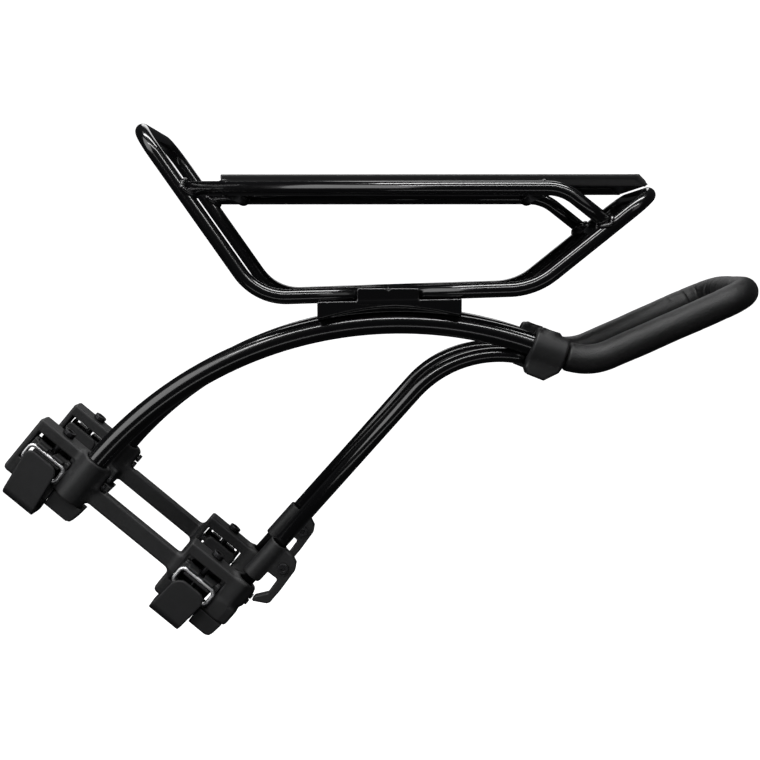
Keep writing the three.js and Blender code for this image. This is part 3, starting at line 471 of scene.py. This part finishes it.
def make_bails_and_sliders():
    """Each nut block fills its window: a rim with raised ends, and jaws in front that hold the wire bail."""
    for key, c in CLAMPS.items():
        s = c["s"]
        corners = [(s, -57.2, 29.5), (s - 14.8, -57.2, 29.5), (s - 14.8, -57.2, 17.2), (s + 14.8, -57.2, 17.2), (s + 14.8, -57.2, 29.5), (s, -57.2, 29.5)]
        route = bent_route(corners, [3.5] * 4, 10)[:-1]
        verts, faces = sweep(route, 1.4, 20, closed=True)
        grid = Block((s - 17, -61, 24), (s + 17, -35, 37), 0.35)
        parts = [grid.box((s - 15.6, -54.9, 27.5), (s + 15.6, -37.1, 31), 0.5), grid.box((s - 15.6, -54.9, 27.5), (s + 15.6, -52.4, 33.2), 0.7)]
        parts += [grid.box((s - 11.2, -59.1, 29), (s + 11.2, -53, 33.2), 0.7), grid.box((s - 11.2, -58.2, 26), (s + 11.2, -54.9, 29), 0.5)]
        parts += [grid.box((s + d - 1.5, -54.2, 30), (s + d + 1.5, -49, 35), 0.8) for d in (-14.1, 14.1)]
        slot = grid.box((s - 14, -70, 27.8), (s + 14, -55.2, 31.2), 0.4)
        notch = grid.box((s - 2.5, -70, 30.8), (s + 2.5, -51, 40), 0.5)
        body = carve(union(*parts, blend=0.5), slot, notch, grid.rod((s, -BRACKET_Y, 20), (s, -BRACKET_Y, 40), 2.9), blend=0.3)
        points, quads = grid.surface(body)
        for side_name, side in SIDES.items():
            add_piece(f"wire_bail_{key}_{side_name}", from_stay(verts), faces, node=f"bail_{key}_{side_name}", side=side)
            add_piece(f"nut_block_{key}_{side_name}", from_stay(points), quads, node=f"slider_{key}_{side_name}", side=side)


def socket_screw(head, high, shank, length, key):
    """A cap screw standing on z = 0 with its shank down: rounded knurled head and hexagonal socket, as a finished mesh."""
    grid = Block((-head - 1, -head - 1, -length - 1), (head + 1, head + 1, high + 1), 0.22)
    x, y, z = grid.p
    angle = np.arctan2(y, x)
    away = np.sqrt(x * x + y * y)
    body = grid.rod((0, 0, 0), (0, 0, high), head, 0.5) + 0.07 * np.cos(24 * angle) * (away > head * 0.8)
    body = np.minimum(body, grid.rod((0, 0, -length), (0, 0, 1), shank, 0.3))
    hexagon = np.maximum(away * np.cos((angle % (math.pi / 3)) - math.pi / 6) - key, high * 0.35 - z)
    return grid.surface(carve(body, hexagon, blend=0.15))


def aim(points, at, along):
    """Turns +Z to a direction and moves the origin to a point."""
    turn = np.array(Vector((0, 0, 1)).rotation_difference(Vector(along)).to_matrix())
    return np.asarray(points) @ turn.T + np.array(at)


def make_screws():
    tension = socket_screw(4.6, 3.5, 2.5, 31.0, 2.0)
    for key, c in CLAMPS.items():
        face = c["socket"] + c["tube"] + c["wall"] + c["boss"] + 0.3
        pinch = socket_screw(*c["screw"])
        for side_name, side in SIDES.items():
            placed = from_stay(aim(tension[0], (c["s"], -BRACKET_Y, RIDGE_N + 0.3), (0, 0, 1)))
            add_piece(f"clamp_screw_{key}_{side_name}", placed, tension[1], node=f"tension_bolt_{key}_{side_name}", side=side)
            for i, level in enumerate(c["pinch"], 1):
                placed = from_stay(aim(pinch[0], (face, -c["y"], level), (1, 0, 0)))
                add_piece(f"grub_{key}_{i}_{side_name}", placed, pinch[1], node=f"pinch_screw_{key}_{i}_{side_name}", side=side)
    plate = socket_screw(4.6, 1.6, 2.5, 7.5, 1.6)
    number = 1
    for x in (FRONT_BAR[0], REAR_BAR[0]):
        for y in (-25, 25):
            add_piece(f"flush_screw_{number}", aim(plate[0], (x, y, PLATE_TOP - 1.7), (0, 0, 1)), plate[1], node=f"plate_screw_{number}")
            number += 1


def arch_line(x):
    slope = (ARCH[2][1] - ARCH[1][1]) / (ARCH[2][0] - ARCH[1][0])
    return ARCH[2][1] + slope * (x - ARCH[2][0])


def make_junctions():
    """Moulded block over the joint: a sleeve round the tubes and a lobe under it for the lower stay."""
    grid = Block((275, -67, 133), (313, -33, 181), 0.4)
    along = Vector((1, 0, arch_line(1) - arch_line(0))).normalized()
    centre = Vector((296.2, -ARCH_Y, arch_line(296.2)))
    sleeve = grid.rod(centre - along * 12, centre + along * 12, 12.8, 1.6, radius_b=11.6)
    outline = [(283.5, 160), (279.4, 147.5), (280.8, 142.6), (292.4, 138), (303, 143.3), (306, 150), (306, 158)]
    lobe = grid.prism(outline, -ARCH_Y - 8.5, -STAY_Y + STAY_R + 3.2, 2.2)
    up = Vector((-along.z, 0, along.x))
    bolt = Vector((294.5, -ARCH_Y, arch_line(294.5)))
    boss = grid.rod(bolt + up * 6, bolt + up * 13.6, 6.4, 1.2)
    body = union(sleeve, lobe, boss, blend=3.5)
    tools = [
        grid.rod(centre - along * 40, centre + along * 2.3, ARCH_R + 0.3),
        grid.rod(centre, centre + along * 40, 7.3),
        grid.rod((230, -STAY_Y, 160.4), (288, -STAY_Y, 152.8), STAY_R + 0.3),
        grid.rod(bolt + up * 11.2, bolt + up * 20, 4.9),
    ]
    body = carve(body, *tools, blend=0.6)
    groove = np.maximum(abs(grid.p[1] + ARCH_Y) - 0.35, -body - 0.5)
    body = carve(body, groove, blend=0.2)
    points, faces = grid.surface(body)
    screw = socket_screw(4.6, 2.1, 2.5, 2.9, 1.7)
    for side_name, side in SIDES.items():
        add_piece(f"joint_block_{side_name}", points, faces, node=f"junction_block_{side_name}", side=side)
        placed = aim(screw[0], bolt + up * 11.5, up)
        add_piece(f"joint_screw_{side_name}", placed, screw[1], node=f"junction_bolt_{side_name}", side=side)


def make_saddles():
    """Pressed saddles welded to the arch, each with a tab that wraps the platform's lower rail."""
    (ax, az), (bx, bz), _ = ARCH
    into = Vector((bx - ax, bz - az)).normalized()
    out = Vector((1, arch_line(1) - arch_line(0))).normalized()
    tangent = ARCH_BEND * math.tan(into.angle(out) / 2)
    centre_x, centre_z = Vector((bx, bz)) - into * tangent + Vector((into.y, -into.x)) * ARCH_BEND
    arch_z = lambda x: centre_z + math.sqrt(ARCH_BEND ** 2 - (x - centre_x) ** 2)
    grid = Block((128, -68, 166), (240, -38, 206), 0.5)
    span = np.linspace(135.5, 235, 25)
    rim = [(x, arch_z(x) + 8.1 + 3.2 * math.sin(math.pi * i / 24)) for i, x in enumerate(span)]
    rim = [(135.5, rim[0][1] + 2.2), (136.2, rim[0][1] + 0.6)] + rim[1:-1] + [(234.3, rim[-1][1] + 0.6), (235, rim[-1][1] + 2.2)]
    top = [(235, 195.2), (135.5, 193)]
    face = -PLATFORM_Y - HOOP_R - 1.6
    skin = grid.prism(rim + top, face, -55, 0.7)
    web = grid.prism([(x, arch_z(x) + 7.2) for x in span] + top, -57, -ARCH_Y + 8.4, 0.7)
    tab = grid.prism([(162.8, 191), (205.8, 191), (205.8, 201.4), (204.8, 202.4), (163.8, 202.4), (162.8, 201.4)], face, -PLATFORM_Y + HOOP_R + 1.6, 0.7)
    body = union(skin, web, tab, blend=1.2)
    x, y, z = grid.p
    ring = np.sqrt((x - centre_x) ** 2 + (z - centre_z) ** 2) - ARCH_BEND
    arch = np.sqrt(ring ** 2 + (y + ARCH_Y) ** 2) - (ARCH_R + 0.3)
    rail = grid.rod((80, -PLATFORM_Y, rail_z(80)), (290, -PLATFORM_Y, rail_z(290)), HOOP_R + 0.3)
    notch = grid.prism([(HOOP_JOINT - 3, 204), (HOOP_JOINT, 200.6), (HOOP_JOINT + 3, 204)], -80, -40, 0.2)
    points, faces = grid.surface(carve(body, arch, rail, notch, blend=0.5))
    for side_name, side in SIDES.items():
        add_piece(f"cradle_{side_name}", points, faces, node=f"saddle_{side_name}", side=side)


def make_hooks():
    for side_name, side in SIDES.items():
        low = HOOK_LOW[side_name]
        axis = lambda n: (67.7 + 0.028 * (n - RIDGE_N), -STAY_Y, n)
        s = axis(low + 15.5)[0]
        grid = Block((s - 11, -STAY_Y - 10, low - 16), (s + 26, -STAY_Y + 10, low + 34), 0.4)
        sleeve = grid.rod(axis(low), axis(low + 31), STAY_R + 1.7, 0.8)
        outline = [(s + 2, low + 31), (s + 13, low + 30.6), (s + 18.8, low + 28), (s + 21.4, low + 23.5), (s + 22.6, low + 5.6),
                   (s + 22.5, low - 6), (s + 21.2, low - 8), (s + 12.4, low - 13), (s + 11, low - 12.6), (s + 11, low - 9.6),
                   (s + 17, low - 1.5), (s + 16.3, low + 9.2), (s + 14.8, low + 10.5), (s + 6.9, low + 10.2), (s + 6.4, low + 2),
                   (s + 2, low + 0.3)]
        plate = grid.prism(outline, -STAY_Y - 4.5, -STAY_Y + 4.5, 1.0)
        body = union(sleeve, plate, blend=2.0)
        at = (s + 14, -STAY_Y, low + 19.4)
        tools = [grid.rod(axis(low - 9), axis(low + 40), STAY_R + 0.4), grid.rod((at[0], -STAY_Y - 12, at[2]), (at[0], -STAY_Y + 12, at[2]), 2.4)]
        points, faces = grid.surface(carve(body, *tools, blend=0.5))
        add_piece(f"ring_hook_{side_name}", from_stay(points), faces, node=f"bag_hook_{side_name}", side=side)
        head = socket_screw(3.9, 2.2, 2.0, 13.6, 1.5)
        placed = from_stay(aim(head[0], (at[0], -STAY_Y - 4.8, at[2]), (0, -1, 0)))
        add_piece(f"hook_cap_screw_{side_name}", placed, head[1], node=f"hook_screw_{side_name}", side=side)


# ---- welds ------------------------------------------------------------------------
def weld(name, end, along, radius, other, other_along, other_radius, bead):
    """A rippled bead where a tube that ends on another one meets its surface."""
    end, along, other, other_along = (Vector(v) for v in (end, along, other, other_along))
    along.normalize()
    other_along.normalize()
    side = along.orthogonal().normalized()
    up = along.cross(side)
    ring = []
    count = 72
    for k in range(count):
        a = 2 * math.pi * k / count
        spoke = side * math.cos(a) + up * math.sin(a)
        back = 0.0
        while back < 20:
            p = end - along * back + spoke * radius
            gap = p - other
            if (gap - other_along * gap.dot(other_along)).length >= other_radius:
                break
            back += 0.1
        ring.append(p + spoke * 0.35 - along * 0.35)
    stations = []
    for i, p in enumerate(ring):
        stations.append((p, (ring[(i + 1) % count] - ring[i - 1]).normalized()))
    ripple = lambda d, at, spoke: bead * (1 + 0.14 * abs(math.sin(d * 1.9)))
    verts, faces = sweep(stations, ripple, 12, closed=True)
    for side_name, sign in SIDES.items():
        add_piece(f"{name}_{side_name}", verts, faces, body="frame", slot="tube_coat", side=sign)


def make_welds():
    y = -PLATFORM_Y
    leg = Vector((HOOP_FOOT[0] - HOOP_TOP[0], 0, HOOP_FOOT[1] - HOOP_TOP[1]))
    weld("weld_rail_front", (TOP_RAIL[0][0], y, TOP_RAIL[0][1]), (-1, 0, 0), RAIL_R, (HOOP_FOOT[0], y, HOOP_FOOT[1]), leg, HOOP_R, 1.8)
    drop = Vector((TOP_RAIL[2][0] - TOP_RAIL[1][0], 0, TOP_RAIL[2][1] - TOP_RAIL[1][1]))
    rise = Vector((REAR_TOP[0] - REAR_FOOT_X, 0, REAR_TOP[1] - rail_z(REAR_FOOT_X)))
    weld("weld_rail_rear", (TOP_RAIL[2][0], y, TOP_RAIL[2][1]), drop, RAIL_R, (REAR_TOP[0], y, REAR_TOP[1]), rise, HOOP_R, 1.5)
    for name, (x, z), at, along, bead in (
        ("weld_bar_front", FRONT_BAR, (FRONT_BAR[0], y, TOP_RAIL[0][1]), (1, 0, 0), 0.8),
        ("weld_bar_rear", REAR_BAR, (REAR_BAR[0], y, TOP_RAIL[0][1]), (1, 0, 0), 0.8),
        ("weld_bar_tail", TAIL_BAR, (TOP_RAIL[2][0], y, TOP_RAIL[2][1]), drop, 1.3),
    ):
        weld(name, (x, y, z), (0, -1, 0), RAIL_R, at, along, RAIL_R, bead)
    heading = Vector((1, 0, RAIL_RISE)).normalized()
    up = Vector((0, 1, 0)).cross(heading)
    joint = Vector((HOOP_JOINT, y, rail_z(HOOP_JOINT)))
    ring = []
    for k in range(48):
        a = 2 * math.pi * k / 48
        spoke = Vector((0, 1, 0)) * math.cos(a) + up * math.sin(a)
        ring.append((joint + spoke * (HOOP_R - 0.35), (up * math.cos(a) - Vector((0, 1, 0)) * math.sin(a)).normalized()))
    verts, faces = sweep(ring, lambda d, at, spoke: 0.62 * (1 + 0.1 * math.sin(d * 3)), 10, closed=True)
    for side_name, sign in SIDES.items():
        add_piece(f"weld_hoop_joint_{side_name}", verts, faces, body="frame", slot="tube_coat", side=sign)


# ---- stage --------------------------------------------------------------------------
def make_stage():
    """A pale round floor that curves up into a wall all round the rack."""
    floor_z, wall, bend, sides = -330.0, 3000.0, 900.0, 64
    profile = [(600.0, floor_z), (1400.0, floor_z)]
    for k in range(13):
        a = math.pi / 2 * k / 12
        profile.append((wall - bend + bend * math.sin(a), floor_z + bend - bend * math.cos(a)))
    profile.append((wall, 4200.0))
    verts = [(190.0, 0.0, floor_z)]
    for r, z in profile:
        for k in range(sides):
            a = 2 * math.pi * k / sides
            verts.append((190 + r * math.cos(a), r * math.sin(a), z))
    faces = [(0, 1 + k, 1 + (k + 1) % sides) for k in range(sides)]
    for i in range(len(profile) - 1):
        for k in range(sides):
            low, m = 1 + i * sides, (k + 1) % sides
            faces.append((low + k, low + sides + k, low + sides + m, low + m))
    mesh = bpy.data.meshes.new("backdrop")
    mesh.from_pydata([[v * MM for v in p] for p in verts], [], faces)
    mesh.polygons.foreach_set("use_smooth", [True] * len(mesh.polygons))
    obj = bpy.data.objects.new("backdrop", mesh)
    bpy.context.scene.collection.objects.link(obj)
    paper = bpy.data.materials.new("backdrop_paper")
    paper.use_nodes = True
    shader = paper.node_tree.nodes["Principled BSDF"]
    shader.inputs["Base Color"].default_value = (0.9, 0.9, 0.9, 1)
    shader.inputs["Roughness"].default_value = 0.9
    shader.inputs["Emission Color"].default_value = (1, 1, 1, 1)
    shader.inputs["Emission Strength"].default_value = 1.0
    mesh.materials.append(paper)
    obj.visible_glossy = False
    obj.visible_diffuse = False


def softbox(name, at, target, size, power):
    light = bpy.data.lights.new(name, "AREA")
    light.shape = "RECTANGLE"
    light.size, light.size_y = size
    light.energy = power
    obj = bpy.data.objects.new(name, light)
    obj.location = at
    obj.rotation_euler = (Vector(target) - Vector(at)).to_track_quat("-Z", "Y").to_euler()
    obj.visible_camera = False
    bpy.context.scene.collection.objects.link(obj)


def make_lights_and_camera():
    centre = (0.19, 0, 0.15)
    softbox("strip", (0.19, -1.17, 1.24), centre, (1.8, 0.1), 9)
    softbox("top", (0.19, -0.3, 1.72), centre, (1.8, 0.25), 22)
    softbox("left", (-0.6, -0.7, 0.6), centre, (0.8, 0.8), 4.5)
    softbox("right", (0.96, -1.06, 0.64), centre, (0.7, 0.7), 0.9)
    softbox("low", (0.19, -0.74, -0.3), centre, (1.3, 0.1), 0.5)
    softbox("back", (0.2, 1.4, 1.3), centre, (1.2, 0.8), 5)
    world = bpy.data.worlds.new("studio")
    world.use_nodes = True
    world.node_tree.nodes["Background"].inputs["Color"].default_value = (0.93, 0.95, 1.0, 1)
    world.node_tree.nodes["Background"].inputs["Strength"].default_value = 0.018
    bpy.context.scene.world = world
    bpy.context.scene.view_settings.view_transform = "Standard"
    camera = bpy.data.cameras.new("camera")
    camera.lens = 58.12
    camera.sensor_width = 36.0
    obj = bpy.data.objects.new("camera", camera)
    obj.location = (0.1876, -0.909, 0.2148)
    obj.rotation_euler = (math.radians(90 - 5.12), 0, math.radians(0.6))
    bpy.context.scene.collection.objects.link(obj)
    bpy.context.scene.camera = obj


make_lights_and_camera()
make_stage()
make_tubes()
make_foam()
make_plate()
make_brackets()
make_pads()
make_straps()
make_bails_and_sliders()
make_screws()
make_junctions()
make_saddles()
make_hooks()
make_welds()
for name, obj in frame["nodes"].items():
    obj.data.materials.clear()
    obj.data.materials.append(FINISH[SLOT_OF[name]])
